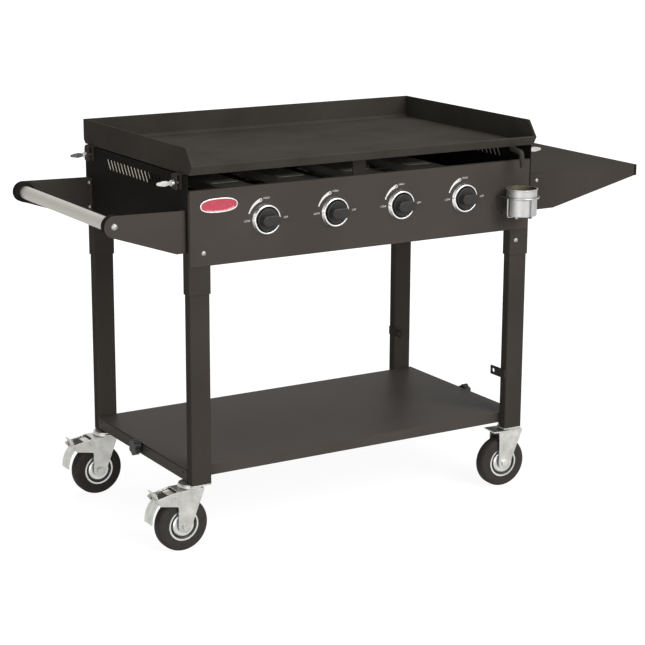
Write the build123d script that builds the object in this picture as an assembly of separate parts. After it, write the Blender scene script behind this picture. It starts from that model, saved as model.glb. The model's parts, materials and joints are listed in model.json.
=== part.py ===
from build123d import *
import math
import os

# Flat top gas barbecue on a wheeled trolley: a welded steel griddle over a sheet-metal firebox
# with four burners and gas taps, two-stage legs, a bottom shelf, a rail handle on the left,
# a side shelf on the right, a grease cup under the drain spout and four swivel casters.
# Millimetres. +X right, +Y back, +Z up, origin on the floor midway between the four legs.

# Body
BODY_WIDTH = 924.0          # across the outer faces of the side panels
BODY_DEPTH = 530.0          # across the outer faces of the control panel and back panel
SHEET = 1.5                 # body sheet metal
PANEL_HEIGHT = 168.0        # control panel, bottom edge to top edge
PANEL_LIP = 12.0            # folds along the top and bottom edges of the control panel
PANEL_INSET = 4.5           # ends of the control panel, inside the side panels' outer faces
SIDE_LIFT = 33.0            # side and back panels start this far above the control panel's bottom
SIDE_RISE = 33.0            # and end this far above its top
TRAY_LEDGE = 15.0           # folds along the side panels that carry the base tray
TRAY_LIP = 10.0
SLOT_COUNT = 16             # slanted vents in each side panel
SLOT_PITCH = 17.7
SLOT_LENGTH = 30.0
SLOT_WIDTH = 5.0
SLOT_LEAN = 58.0            # degrees from level, tops towards the back
SLOT_DROP = 29.5            # slot centres below the side panel's top edge

# Legs
CASTER_HEIGHT = 156.0       # floor to the underside of a leg
LEG_LENGTH = 548.0
LEG_WIDTH = 50.0
LEG_DEPTH = 25.0
LEG_WALL = 1.6
LEG_CORNER = 3.0
SLEEVE_WALL = 2.0
SLEEVE_PLAY = 0.2
SLEEVE_GRIP = 110.5         # length of leg inside its sleeve
SLEEVE_SHOW = 63.5          # length of sleeve below the control panel
SLEEVE_TOP_GAP = 5.0       # sleeve top below the control panel's top edge
TAB_REACH = 36.0            # gas bottle tabs, past the leg
TAB_HEIGHT = 22.0
TAB_SHEET = 3.0
TAB_HOLE = 11.0
TAB_LIFT = 139.0            # tab centre above the underside of the leg

# Bottom shelf
SHELF_LIFT = 35.0           # shelf top above the underside of the legs
SHELF_FLANGE = 25.0         # front and back flanges
SHELF_SIDE_FLANGE = 28.0    # side flanges, which stand on the rails' ledges
RAIL_SHEET = 2.0
RAIL_LEDGE = 18.0
RAIL_TOP_GAP = 4.5          # rail top edge below the shelf top
RAIL_HOLE = 6.0
RAIL_HOLE_INSET = 17.0      # small rail holes, from the end of the rail
SHELF_END_GAP = 1.5         # shelf ends to the legs
SHELF_OVERHANG = 2.0        # shelf sheet past the rails
HAND_KNOB_DIAMETER = 38.0
HAND_KNOB_DEPTH = 15.5
HAND_KNOB_LOBES = 6
HAND_KNOB_BOSS = 6.0       # boss between the knob's head and the rail
HAND_KNOB_STUD = 8.0
HAND_KNOB_DROP = 12.0       # knob axis below the shelf top
STUD_TAIL = 8.0             # stud past the shelf flange

# Griddle
GRIDDLE_INSET = 1.0         # griddle sides, inside the side panels' outer faces
GRIDDLE_GAP = 35.5          # control panel top to the griddle's underside
GRIDDLE_RIM = 57.5          # underside to the top of the walls
GRIDDLE_SHEET = 4.5
BACK_OVERHANG = 10.0        # griddle past the back panel
LIP_OVERHANG = 19.0         # front lip past the control panel
LIP_RUN = 12.0              # front lip slopes out by this
LIP_RISE = 19.5             # while it rises by this
WALL_CUT = 28.0             # slanted front ends of the side walls
BACK_BEVEL_RUN = 9.0
BACK_BEVEL_RISE = 9.0
SPOUT_DIAMETER = 12.5
SPOUT_BORE = 9.0
SPOUT_BACK = 10.0           # drain hole behind the lip's lower edge
SPOUT_STUB = 6.5            # level of the first bend below the griddle's underside
SPOUT_KNEE_OUT = 29.0       # second bend in front of the lip's lower edge
SPOUT_KNEE_DROP = 12.0      # and below the griddle's underside
SPOUT_OUT = 36.0            # mouth in front of the lip's lower edge
SPOUT_DROP = 46.5           # and below the griddle's underside
SPOUT_BEND = 7.0
SPOUT_COLLAR = 19.0
SPOUT_COLLAR_DEPTH = 2.0

# Griddle supports
CENTRE_WIDTH = 36.0
CENTRE_SHEET = 3.0
CENTRE_FRONT = 40.0         # front post behind the control panel's face
CENTRE_BACK = 40.0          # back post in front of the back panel's face
CENTRE_FOOT = 30.0          # feet on the base tray
BRACKET_SHEET = 2.5
BRACKET_WIDTH = 22.0
BRACKET_STAND = 9.0         # gap between the bracket's two upright legs
BRACKET_LEDGE = 24.0        # ledge under the griddle, inboard of the side panel's outer face
BRACKET_DROP = 34.5         # bracket height below the griddle's underside
BRACKET_INSET = 37.0        # bracket's middle from the control panel's face or the back panel's
THUMB_SCREW = 6.0
THUMB_DROP = 20.5           # thumb screw axis below the griddle's underside
THUMB_COLLAR = 14.0
THUMB_COLLAR_LENGTH = 7.0
THUMB_PADDLE_LENGTH = 34.0
THUMB_PADDLE_WIDTH = 12.0
THUMB_PADDLE_THICK = 3.0
THUMB_TAIL = 6.0            # screw end inside the side panel

# Gas
TAP_COUNT = 4
TAP_PITCH = 178.5
TAP_DROP = 78.0             # tap axis below the control panel's top edge
STEM_DIAMETER = 8.0
STEM_HOLE = 14.0            # panel hole round each stem
STEM_END_GAP = 1.0          # pushed stem to the end of its bore
STEM_PUSH = 4.0             # travel of a pushed knob
VALVE_DIAMETER = 24.0
VALVE_LENGTH = 54.0
VALVE_BORE_DEPTH = 32.0
SPUD_DIAMETER = 10.0
SPUD_LENGTH = 14.0
PORT_DIAMETER = 12.0        # upright stub from valve to manifold
PORT_SEAT = 2.0             # stub length inside the manifold wall
MANIFOLD_DIAMETER = 20.0
MANIFOLD_WALL = 2.0
MANIFOLD_BELOW = 32.0       # manifold axis below the tap axis
MANIFOLD_BEHIND = 23.5      # manifold axis behind the control panel's back face
MANIFOLD_END = 30.0         # manifold past the outer valves
PIPE_DIAMETER = 15.0        # bent pipe from the manifold, out through the right side panel
PIPE_BORE = 10.0
PIPE_BEND = 22.0
PIPE_START = 14.0           # straight run before the first bend
PIPE_SLANT = 40.0           # slanted run, along X
PIPE_BACK = 27.0            # run behind the leg, this far behind the manifold's axis
INLET_DIAMETER = 16.66      # 3/8 inch gas thread
INLET_STAND = 3.0           # thread start, outside the side panel
INLET_LENGTH = 22.0
BURNER_DIAMETER = 30.0
BURNER_WALL = 1.5
BURNER_START = 8.0          # burner mouth plate in front of the spud's tip
BURNER_END_GAP = 12.0       # burner end to the back panel
BURNER_PORTS = 14
BURNER_PORT = 3.0
BURNER_REST_SHEET = 2.0
BURNER_REST_LEDGE = 30.0
BURNER_REST_RISE = 24.0
BURNER_REST_MARGIN = 60.0   # rest ends to the side panels

# Knobs
KNOB_DIAMETER = 52.0
KNOB_BASE = 7.0
KNOB_DEPTH = 24.5
KNOB_CAP = 5.0              # knob over the stem's end
KNOB_GAP = 4.5              # knob back to the control panel
GRIP_LENGTH = 46.0
GRIP_WIDTH = 24.0
BEZEL_DIAMETER = 72.0
BEZEL_INNER = 57.0
BEZEL_DEPTH = 8.0
BEZEL_EDGE = 1.2            # small chamfers
BEZEL_SLOPE = 3.6           # sloping outer face

# Handle on the left
ARM_SHEET = 2.0
ARM_INSET = 11.0            # outer faces of arms and side shelf, inside the control panel's face
ARM_REACH = 168.0           # side panel to the handle's axis
ARM_END_RADIUS = 24.0
ARM_AXIS_DROP = 63.0        # handle axis below the control panel's top edge
ARM_ROOT_TOP = 20.0         # root of an arm above the handle's axis
ARM_ROOT_BOTTOM = 74.0      # and below it
ARM_ROOT_FLAT = 23.0
ARM_FLANGE = 22.0
HANDLE_DIAMETER = 30.0
HANDLE_WALL = 1.5
HANDLE_PLUG = 12.0

# Side shelf on the right
SHELF_REACH = 338.5
SIDE_SHELF_DROP = 42.0      # shelf top below the control panel's top edge
SIDE_SHELF_EDGE = 25.7      # outer edge height
SIDE_SHELF_ROOT = 86.0      # flange height at the body
SIDE_SHELF_FLAT = 79.0      # level run of the flange's lower edge
BRACE_REACH = 40.0          # braces that carry the shelf
BRACE_FLANGE = 18.0
BRACE_MARGIN = 6.0

# Grease cup and its wire holder
CUP_DIAMETER = 73.0
CUP_HEIGHT = 64.0
CUP_WALL = 0.8
CUP_BEAD = 1.6
CUP_DROP = 60.0             # cup rim below the control panel's top edge
CUP_STAND = 6.0             # cup to the control panel
CUP_FROM_SIDE = 58.0        # cup axis from the right side panel's outer face
WIRE = 4.0
HOOP_DROP = 21.0            # hoop below the cup's rim
HOOP_PLAY = 0.5
WIRE_BEND = 4.0
SPARE_HOLE = 5.0            # spare hole in the panel, lower left of the cup
SPARE_HOLE_INSET = 84.0     # from the right side panel's outer face
SPARE_HOLE_DROP = 123.0

# Screws
SCREW = 6.0
PANEL_HEAD = 12.0
FLANGE_HEAD = 10.0
BOLT_HEAD = 16.0
SOCKET = 4.0                # hexagon socket in a head
SOCKET_DEPTH = 2.0
HEAD_DOME = 0.3             # dome height as a share of a head's diameter
SCREW_GRIP = 7.5            # shank length
HANDLE_BOLT_GRIP = 11.0
PANEL_SCREW_INSET = 38.0    # from the side panels' outer faces
PANEL_SCREW_LIFT = 29.0     # above the control panel's bottom edge
SLEEVE_SCREW_DROP = 27.0    # below it
ARM_SCREW_INSET = 10.0      # from the outer face of an arm
ARM_SCREW_HIGH = 8.0        # above the handle's axis
ARM_SCREW_LOW = 50.0        # below it
SHELF_BOLT_X = 27.0         # from the side panel
SHELF_BOLT_DROP = 14.5      # below the side shelf's top
BRACE_SCREW_HIGH = 34.0     # below the side shelf's top
BRACE_SCREW_LOW = 60.0

# Casters
WHEEL_DIAMETER = 125.0
TYRE_WIDTH = 34.0
TYRE_SHOULDER = 11.0
RIM_DIAMETER = 74.0
HUB_WIDTH = 41.0
BARREL_RADIUS = 10.5        # barrel ends round the axle
DISC_RADIUS = 24.0          # flat middle of the wheel disc
DISC_EDGE = 3.0             # its bevelled edge
RIM_LIP = 4.5               # rim ring against the tyre
RIM_SET = 1.0               # rim ring inside the tyre's side
CASTER_TRAIL = 25.0         # axle behind the swivel axis
SWIVEL_OUT = 13.0           # swivel axis from the middle of the leg, towards the side
SWIVEL_IN = 20.5            # and towards the middle of the depth
FORK_GAP = 42.0
FORK_SHEET = 3.0
HEAD_HEIGHT = 10.0          # bearing head and foot plate between fork and leg
HEAD_DIAMETER = 58.0
FOOT_PLATE = 3.0
RACE_EDGE = 2.0             # chamfers on the bearing race
PLUG_HEIGHT = 40.0
KING_PIN = 12.0
KING_NUT = 19.0
KING_NUT_HEIGHT = 6.0
AXLE = 8.0
AXLE_HEAD = 15.0
AXLE_HEAD_HEIGHT = 5.0
BOSS_RADIUS = 16.0          # fork cheek round the axle
CROWN_FRONT = 24.0          # fork crown ahead of the swivel axis
FENDER = 16.0               # crown past the cheeks on a caster with no brake
BRAKE_ARM_REACH = 72.0      # braked fork's arms: tip behind the axle
BRAKE_ARM_TOP = 73.0        # top of the tip above the axle
BRAKE_ARM_LOW = 56.0        # lower edge above the axle at the tip
BRAKE_ARM_ROOT = 45.0       # and at the axle
BRAKE_ARM_NOSE = 11.5       # slanted lower corner of the tip
BRAKE_ARM_BEVEL = 3.0       # its upper corner
BRAKE_ARM_ROUND = 5.0       # rounded corner under the arm
BRAKE_PIN = 6.0
BRAKE_PIN_HEAD = 9.0
BRAKE_PIN_HEAD_HEIGHT = 2.0
BRAKE_PIN_BACK = 20.5       # brake pivot behind the axle
BRAKE_PIN_RISE = 71.0       # and above it
BRAKE_WIDTH = 36.0
BRAKE_SHEET = 2.5
PEDAL_KNEE = 32.0           # bends of the brake pedal: behind the axle, then above it
PEDAL_KNEE_RISE = 76.0
PEDAL_SLOPE = 57.0
PEDAL_SLOPE_RISE = 66.5
PEDAL_TOE = 61.0
PEDAL_TOE_RISE = 67.0
PEDAL_TIP = 71.0
PEDAL_TIP_RISE = 86.0
LOBE_MIDDLE = 74.3          # its lower lobe, which bends round the tyre from the end of the slope
LOBE_MIDDLE_RISE = 44.0
LOBE_END = 80.5
LOBE_END_RISE = 14.0
CASTER_TURN = {"front_left": 0.0, "back_left": 0.0, "front_right": -4.0, "back_right": -5.0}

# Clearances
RUNNING = 0.05              # shaft in its bore, radial
FREE = 0.3                  # between pieces that move past each other
DRILLED = 0.1               # screw in its hole, radial

# Places worked out from the sizes above
half_width = BODY_WIDTH / 2
half_depth = BODY_DEPTH / 2
panel_back = -half_depth + SHEET
sleeve_out_x = half_width - SHEET
sleeve_out_y = half_depth - SHEET
leg_out_x = sleeve_out_x - SLEEVE_WALL - SLEEVE_PLAY
leg_out_y = sleeve_out_y - SLEEVE_WALL - SLEEVE_PLAY
leg_x = leg_out_x - LEG_WIDTH / 2
leg_y = leg_out_y - LEG_DEPTH / 2
sleeve_width = LEG_WIDTH + 2 * (SLEEVE_PLAY + SLEEVE_WALL)
sleeve_depth = LEG_DEPTH + 2 * (SLEEVE_PLAY + SLEEVE_WALL)
leg_bottom = CASTER_HEIGHT
leg_top = leg_bottom + LEG_LENGTH
sleeve_bottom = leg_top - SLEEVE_GRIP
panel_bottom = sleeve_bottom + SLEEVE_SHOW
panel_top = panel_bottom + PANEL_HEIGHT
sleeve_top = panel_top - SLEEVE_TOP_GAP
side_bottom = panel_bottom + SIDE_LIFT
side_top = panel_top + SIDE_RISE
griddle_bottom = panel_top + GRIDDLE_GAP
tap_z = panel_top - TAP_DROP
tap_xs = [(i - (TAP_COUNT - 1) / 2) * TAP_PITCH for i in range(TAP_COUNT)]
arm_y = half_depth - ARM_INSET
handle_x = -half_width - ARM_REACH
handle_z = panel_top - ARM_AXIS_DROP
shelf_top = leg_bottom + SHELF_LIFT
side_shelf_top = panel_top - SIDE_SHELF_DROP
cup_x = half_width - CUP_FROM_SIDE
cup_y = -half_depth - CUP_STAND - CUP_DIAMETER / 2
cup_rim = panel_top - CUP_DROP
corners = {"front_left": (-1, -1), "back_left": (-1, 1), "front_right": (1, -1), "back_right": (1, 1)}


def save(name, *shapes):
    """Writes one node: a single solid, or a group of separate solids."""
    solids = [solid for shape in shapes for solid in shape.solids()]
    os.makedirs("parts", exist_ok=True)
    node = solids[0] if len(solids) == 1 else Compound(children=solids)
    export_step(node, f"parts/{name}.step")


def block(x0, x1, y0, y1, z0, z1):
    """A box between two corners."""
    return Pos((x0 + x1) / 2, (y0 + y1) / 2, (z0 + z1) / 2) * Box(abs(x1 - x0), abs(y1 - y0), abs(z1 - z0))


def rod(start, end, radius):
    """A round bar from one point to another."""
    along = Vector(*end) - Vector(*start)
    return extrude(Plane(origin=start, z_dir=along) * Circle(radius), along.length)


def hexagon(start, end, across):
    """A hexagonal nut or bolt head from one point to another."""
    along = Vector(*end) - Vector(*start)
    flats = RegularPolygon(across / 2, 6, major_radius=False)
    return extrude(Plane(origin=start, z_dir=along) * flats, along.length)


def plate_across_y(face, y0, y1):
    """A face drawn in X and Z, made into a plate from y0 to y1."""
    return extrude(Plane.XZ.offset(-min(y0, y1)) * face, abs(y1 - y0), dir=(0, 1, 0))


def plate_across_x(face, x0, x1):
    """A face drawn in Y and Z, made into a plate from x0 to x1."""
    return extrude(Plane.YZ.offset(min(x0, x1)) * face, abs(x1 - x0), dir=(1, 0, 0))


def outline(*points):
    return Polygon(*points, align=None)


def lathe(*points):
    """A profile of radius and height, turned about Z."""
    return revolve(Plane.XZ * outline(*points), Axis.Z)


def towards(point, direction):
    """A place whose own Z looks along a direction."""
    return Plane(origin=point, z_dir=direction)


def tube(width, depth, wall, height):
    """A rectangular tube with rounded corners, standing on z = 0."""
    outer = RectangleRounded(width, depth, LEG_CORNER)
    inner = RectangleRounded(width - 2 * wall, depth - 2 * wall, max(LEG_CORNER - wall, 0.5))
    return extrude(outer - inner, height)


def dome_screw(point, direction, grip, head):
    """A dome-head screw: head outside the point, shank along the direction."""
    rise = head * HEAD_DOME
    ball = (head * head / 4 + rise * rise) / (2 * rise)
    dome = Pos(0, 0, rise - ball) * Sphere(ball) & block(-head, head, -head, head, 0, head)
    screw = dome + rod((0, 0, 0), (0, 0, -grip), SCREW / 2)
    screw -= hexagon((0, 0, rise - SOCKET_DEPTH), (0, 0, rise + 1), SOCKET)
    return towards(point, [-d for d in direction]) * screw


def drilled(shape, screws):
    """Clearance holes for screws given as (point, direction, grip, head)."""
    for point, direction, grip, head in screws:
        end = [p + d * (grip + 1) for p, d in zip(point, direction)]
        start = [p - d for p, d in zip(point, direction)]
        shape -= rod(start, end, SCREW / 2 + DRILLED)
    return shape


# Screws, gathered by what they hold
screw_x = half_width - PANEL_SCREW_INSET
panel_screws = []
for sx in (-1, 1):
    place = (sx * screw_x, -half_depth, panel_bottom + PANEL_SCREW_LIFT)
    panel_screws.append((place, (0, 1, 0), SCREW_GRIP, PANEL_HEAD))
sleeve_screws = []
for sx, sy in ((1, -1), (-1, 1), (1, 1)):
    place = (sx * screw_x, sy * sleeve_out_y, panel_bottom - SLEEVE_SCREW_DROP)
    sleeve_screws.append((place, (0, -sy, 0), SCREW_GRIP, PANEL_HEAD))
arm_screws = []
brace_screws = []
handle_bolts = []
shelf_bolts = []
for sy in (-1, 1):
    screw_y = sy * (arm_y - ARM_SCREW_INSET)
    for rise in (ARM_SCREW_HIGH, -ARM_SCREW_LOW):
        place = (-half_width - ARM_SHEET, screw_y, handle_z + rise)
        arm_screws.append((place, (1, 0, 0), SCREW_GRIP, FLANGE_HEAD))
    for drop in (BRACE_SCREW_HIGH, BRACE_SCREW_LOW):
        place = (half_width + ARM_SHEET, screw_y, side_shelf_top - drop)
        brace_screws.append((place, (-1, 0, 0), SCREW_GRIP, FLANGE_HEAD))
    handle_bolts.append(((handle_x, sy * arm_y, handle_z), (0, -sy, 0), HANDLE_BOLT_GRIP, BOLT_HEAD))
    place = (half_width + SHELF_BOLT_X, sy * arm_y, side_shelf_top - SHELF_BOLT_DROP)
    shelf_bolts.append((place, (0, -sy, 0), SCREW_GRIP, FLANGE_HEAD))
all_screws = panel_screws + sleeve_screws + arm_screws + brace_screws + handle_bolts + shelf_bolts
save("dome_screws", *[dome_screw(*screw) for screw in all_screws])

# Legs, sleeves and the tabs for a gas bottle strap
leg = tube(LEG_WIDTH, LEG_DEPTH, LEG_WALL, LEG_LENGTH)
sleeve = tube(sleeve_width, sleeve_depth, SLEEVE_WALL, sleeve_top - sleeve_bottom)
leg_screws = panel_screws + sleeve_screws + arm_screws + brace_screws
legs = [Pos(sx * leg_x, sy * leg_y, leg_bottom) * leg for sx, sy in corners.values()]
save("legs", *[drilled(shape, leg_screws) for shape in legs])
sleeves = [Pos(sx * leg_x, sy * leg_y, sleeve_bottom) * sleeve for sx, sy in corners.values()]
save("leg_sleeves", *[drilled(shape, leg_screws) for shape in sleeves])

tab_z = leg_bottom + TAB_LIFT
tab_x = leg_out_x - LEG_WIDTH
tabs = []
for side in (-1, 1):
    root = side * (leg_out_y - LEG_CORNER)
    tip = side * (leg_out_y - LEG_DEPTH - TAB_REACH)
    tab = block(tab_x - TAB_SHEET, tab_x, root, tip, tab_z - TAB_HEIGHT / 2, tab_z + TAB_HEIGHT / 2)
    hole_y = tip + side * TAB_HOLE
    tabs.append(tab - rod((tab_x - TAB_SHEET - 1, hole_y, tab_z), (tab_x + 1, hole_y, tab_z), TAB_HOLE / 2))
save("bottle_tabs", *tabs)

# Bottom shelf: a sheet with a flange under each edge, on two side rails held by hand knobs
rail_in = leg_out_x - RAIL_SHEET
rail_end = leg_out_y - LEG_DEPTH
shelf_end = rail_end - SHELF_END_GAP
sheet_out = leg_out_x + SHELF_OVERHANG
sheet_low = shelf_top - SHEET
flange_bottom = shelf_top - SHELF_SIDE_FLANGE
knob_z = shelf_top - HAND_KNOB_DROP
stud_hole = HAND_KNOB_STUD / 2 + FREE
shelf_sheet = block(-sheet_out, sheet_out, -shelf_end, shelf_end, sheet_low, shelf_top)
end_flange = block(-rail_in + SHEET, rail_in - SHEET, -shelf_end, -shelf_end + SHEET,
                   shelf_top - SHELF_FLANGE, sheet_low)
side_flange = block(rail_in - SHEET, rail_in, -shelf_end, shelf_end, flange_bottom, sheet_low)
side_flange -= rod((rail_in - SHEET - 1, 0, knob_z), (half_width, 0, knob_z), stud_hole)
save("bottom_shelf", shelf_sheet, end_flange, mirror(end_flange, about=Plane.XZ),
     mirror(side_flange, about=Plane.YZ), side_flange)

rail = block(rail_in, leg_out_x, -rail_end, rail_end, flange_bottom - RAIL_SHEET, shelf_top - RAIL_TOP_GAP)
rail += block(rail_in - RAIL_LEDGE, rail_in, -rail_end, rail_end, flange_bottom - RAIL_SHEET, flange_bottom)
rail -= rod((rail_in - RAIL_LEDGE, 0, knob_z), (half_width, 0, knob_z), stud_hole)
for hole_y in (-rail_end + RAIL_HOLE_INSET, rail_end - RAIL_HOLE_INSET):
    rail -= rod((rail_in - 1, hole_y, knob_z), (half_width, hole_y, knob_z), RAIL_HOLE / 2)
save("shelf_rails", mirror(rail, about=Plane.YZ), rail)

knob_face = leg_out_x + FREE
knob_ring = Circle(HAND_KNOB_DIAMETER * 0.42)
for i in range(HAND_KNOB_LOBES):
    knob_ring += PolarLocations(HAND_KNOB_DIAMETER * 0.34, 1, i * 360 / HAND_KNOB_LOBES) * Circle(
        HAND_KNOB_DIAMETER * 0.16)
hand_knob = Pos(0, 0, HAND_KNOB_BOSS) * extrude(knob_ring, HAND_KNOB_DEPTH)
hand_knob += extrude(Circle(HAND_KNOB_DIAMETER * 0.26), HAND_KNOB_BOSS)
stud_length = knob_face - rail_in + SHEET + STUD_TAIL
hand_knob += rod((0, 0, 0), (0, 0, -stud_length), HAND_KNOB_STUD / 2)
save("shelf_knob_right", towards((knob_face, 0, knob_z), (1, 0, 0)) * hand_knob)
save("shelf_knob_left", towards((-knob_face, 0, knob_z), (-1, 0, 0)) * hand_knob)

# Control panel
hoop_z = cup_rim - HOOP_DROP
hoop_radius = CUP_DIAMETER / 2 + CUP_BEAD + HOOP_PLAY + WIRE / 2
panel_end = half_width - PANEL_INSET
panel = block(-panel_end, panel_end, -half_depth, panel_back, panel_bottom, panel_top)
fold_back = -half_depth + PANEL_LIP
panel += block(-panel_end, panel_end, -half_depth, fold_back, panel_top - SHEET, panel_top)
lip_end = sleeve_out_x - sleeve_width - FREE
panel += block(-lip_end, lip_end, -half_depth, fold_back, panel_bottom, panel_bottom + SHEET)
for tap_x in tap_xs:
    panel -= rod((tap_x, -half_depth - 1, tap_z), (tap_x, panel_back + 1, tap_z), STEM_HOLE / 2)
for side in (-1, 1):
    wire_x = cup_x + side * hoop_radius
    panel -= rod((wire_x, -half_depth - 1, hoop_z), (wire_x, panel_back + 1, hoop_z), WIRE / 2 + DRILLED)
spare_z = panel_top - SPARE_HOLE_DROP
spare_x = half_width - SPARE_HOLE_INSET
panel -= rod((spare_x, -half_depth - 1, spare_z), (spare_x, panel_back + 1, spare_z), SPARE_HOLE / 2)
save("control_panel", drilled(panel, panel_screws))

# Side panels with slanted vents and a ledge for the base tray; back panel; base tray
bracket_ys = (-half_depth + BRACKET_INSET, half_depth - BRACKET_INSET)
thumb_z = griddle_bottom - THUMB_DROP
manifold_y = panel_back + MANIFOLD_BEHIND
manifold_z = tap_z - MANIFOLD_BELOW
pipe_y = manifold_y + PIPE_BACK
ledge_end = sleeve_out_y - sleeve_depth - FREE
slots = Sketch()
for i in range(SLOT_COUNT):
    slot_y = (i - (SLOT_COUNT - 1) / 2) * SLOT_PITCH
    slots += Pos(slot_y, side_top - SLOT_DROP) * SlotOverall(SLOT_LENGTH, SLOT_WIDTH, rotation=SLOT_LEAN)
side_panel = block(sleeve_out_x, half_width, panel_back, -panel_back, side_bottom, side_top)
side_panel += block(sleeve_out_x - TRAY_LEDGE, sleeve_out_x, -ledge_end, ledge_end, side_bottom,
                    side_bottom + SHEET)
side_panel -= plate_across_x(slots, sleeve_out_x - 1, half_width + 1)
for bracket_y in bracket_ys:
    side_panel -= rod((sleeve_out_x - 1, bracket_y, thumb_z), (half_width + 1, bracket_y, thumb_z),
                      THUMB_SCREW / 2 + FREE)
save("side_panel_left", drilled(mirror(side_panel, about=Plane.YZ), arm_screws))
pipe_hole = rod((sleeve_out_x - 1, pipe_y, manifold_z), (half_width + 1, pipe_y, manifold_z),
                INLET_DIAMETER / 2 + FREE)
save("side_panel_right", drilled(side_panel, brace_screws) - pipe_hole)
save("back_panel", block(-half_width, half_width, -panel_back, half_depth, side_bottom, side_top))

tray_floor = side_bottom + SHEET
tray = block(-sleeve_out_x, sleeve_out_x, -ledge_end, ledge_end, tray_floor, tray_floor + TRAY_LIP)
tray -= block(-sleeve_out_x + SHEET, sleeve_out_x - SHEET, -ledge_end + SHEET, ledge_end - SHEET,
              tray_floor + SHEET, tray_floor + TRAY_LIP + 1)
save("base_tray", tray)

# Griddle: a tray of welded plates, open at the top, with a low sloping lip at the front
rim_z = griddle_bottom + GRIDDLE_RIM
griddle_back = half_depth + BACK_OVERHANG
lip_y = -half_depth - LIP_OVERHANG
lip_z = griddle_bottom + LIP_RISE
lip_foot = lip_y + LIP_RUN
half_griddle = half_width - GRIDDLE_INSET
inner_griddle = half_griddle - GRIDDLE_SHEET
bends = [(griddle_back, rim_z), (griddle_back, griddle_bottom + BACK_BEVEL_RISE),
         (griddle_back - BACK_BEVEL_RUN, griddle_bottom), (lip_foot, griddle_bottom), (lip_y, lip_z)]


def inward(start, end):
    """Which way is into the tray from a plate drawn in Y and Z from start to end."""
    length = math.dist(start, end)
    return Vector((end[1] - start[1]) / length, (start[0] - end[0]) / length)


faces = [inward(start, end) for start, end in zip(bends, bends[1:])]
inner_bends = []
for bend, before, after in zip(bends, faces[:1] + faces, faces + faces[-1:]):
    corner = Vector(*bend) + (before + after) * (GRIDDLE_SHEET / (1 + before.dot(after)))
    inner_bends.append((corner.X, corner.Y))
plates = []
for i in range(len(faces)):
    plate = outline(bends[i], bends[i + 1], inner_bends[i + 1], inner_bends[i])
    plates.append(plate_across_x(plate, -inner_griddle, inner_griddle))
back_wall, back_bevel, floor_plate, front_lip = plates
drain_y = lip_foot + SPOUT_BACK
drain = rod((cup_x, drain_y, griddle_bottom - 1), (cup_x, drain_y, griddle_bottom + 2 * GRIDDLE_SHEET),
            SPOUT_BORE / 2)
side_wall = plate_across_x(outline(*bends, (lip_y + WALL_CUT, rim_z)), inner_griddle, half_griddle)
floor_plate -= drain
save("griddle_plate", back_wall, back_bevel, floor_plate, front_lip,
     mirror(side_wall, about=Plane.YZ), side_wall)

# Drain spout: a collar under the hole and a bent tube, forward and down over the cup
spout_path = FilletPolyline((cup_x, drain_y, griddle_bottom), (cup_x, drain_y, griddle_bottom - SPOUT_STUB),
                            (cup_x, lip_foot - SPOUT_KNEE_OUT, griddle_bottom - SPOUT_KNEE_DROP),
                            (cup_x, lip_foot - SPOUT_OUT, griddle_bottom - SPOUT_DROP), radius=SPOUT_BEND)
spout_start = Plane(origin=spout_path @ 0, z_dir=spout_path % 0)
spout = sweep(spout_start * Circle(SPOUT_DIAMETER / 2), path=spout_path)
spout += rod((cup_x, drain_y, griddle_bottom - SPOUT_COLLAR_DEPTH), (cup_x, drain_y, griddle_bottom),
             SPOUT_COLLAR / 2)
spout -= sweep(spout_start * Circle(SPOUT_BORE / 2), path=spout_path)
save("drain_spout", spout)

# Centre support: a bent strip that bridges the firebox and stands on the base tray
bridge_front = -half_depth + CENTRE_FRONT
bridge_back = half_depth - CENTRE_BACK
foot_z = tray_floor + SHEET
half_centre = CENTRE_WIDTH / 2
bridge = block(-half_centre, half_centre, bridge_front, bridge_back,
               griddle_bottom - CENTRE_SHEET, griddle_bottom)
for post_y, inward in ((bridge_front, 1), (bridge_back, -1)):
    post_in = post_y + inward * CENTRE_SHEET
    foot_in = post_y + inward * CENTRE_FOOT
    bridge += block(-half_centre, half_centre, post_y, post_in, foot_z, griddle_bottom)
    bridge += block(-half_centre, half_centre, post_y, foot_in, foot_z, foot_z + CENTRE_SHEET)
save("centre_support", bridge)

# Corner brackets: folded straps on the side panels whose ledges carry the griddle
bracket_out = half_width + 2 * BRACKET_SHEET + BRACKET_STAND
bracket_foot = griddle_bottom - BRACKET_DROP
half_bracket = BRACKET_WIDTH / 2
strap = block(half_width, bracket_out, -half_bracket, half_bracket, bracket_foot, griddle_bottom)
strap -= block(half_width + BRACKET_SHEET, bracket_out - BRACKET_SHEET, -half_bracket - 1, half_bracket + 1,
               bracket_foot - 1, griddle_bottom - BRACKET_SHEET)
outer_edge = strap.edges().filter_by(Axis.Y).sort_by(lambda e: e.center().X + e.center().Z)[-1]
strap = fillet(outer_edge, BRACKET_SHEET * 2)
strap += block(half_width - BRACKET_LEDGE, half_width + BRACKET_SHEET, -half_bracket, half_bracket,
               griddle_bottom - BRACKET_SHEET, griddle_bottom)
strap -= rod((half_width - 1, 0, thumb_z), (bracket_out + 1, 0, thumb_z), THUMB_SCREW / 2 + FREE)
straps = [Pos(0, y, 0) * strap for y in bracket_ys]
save("corner_brackets", *straps, *[mirror(shape, about=Plane.YZ) for shape in straps])

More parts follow.
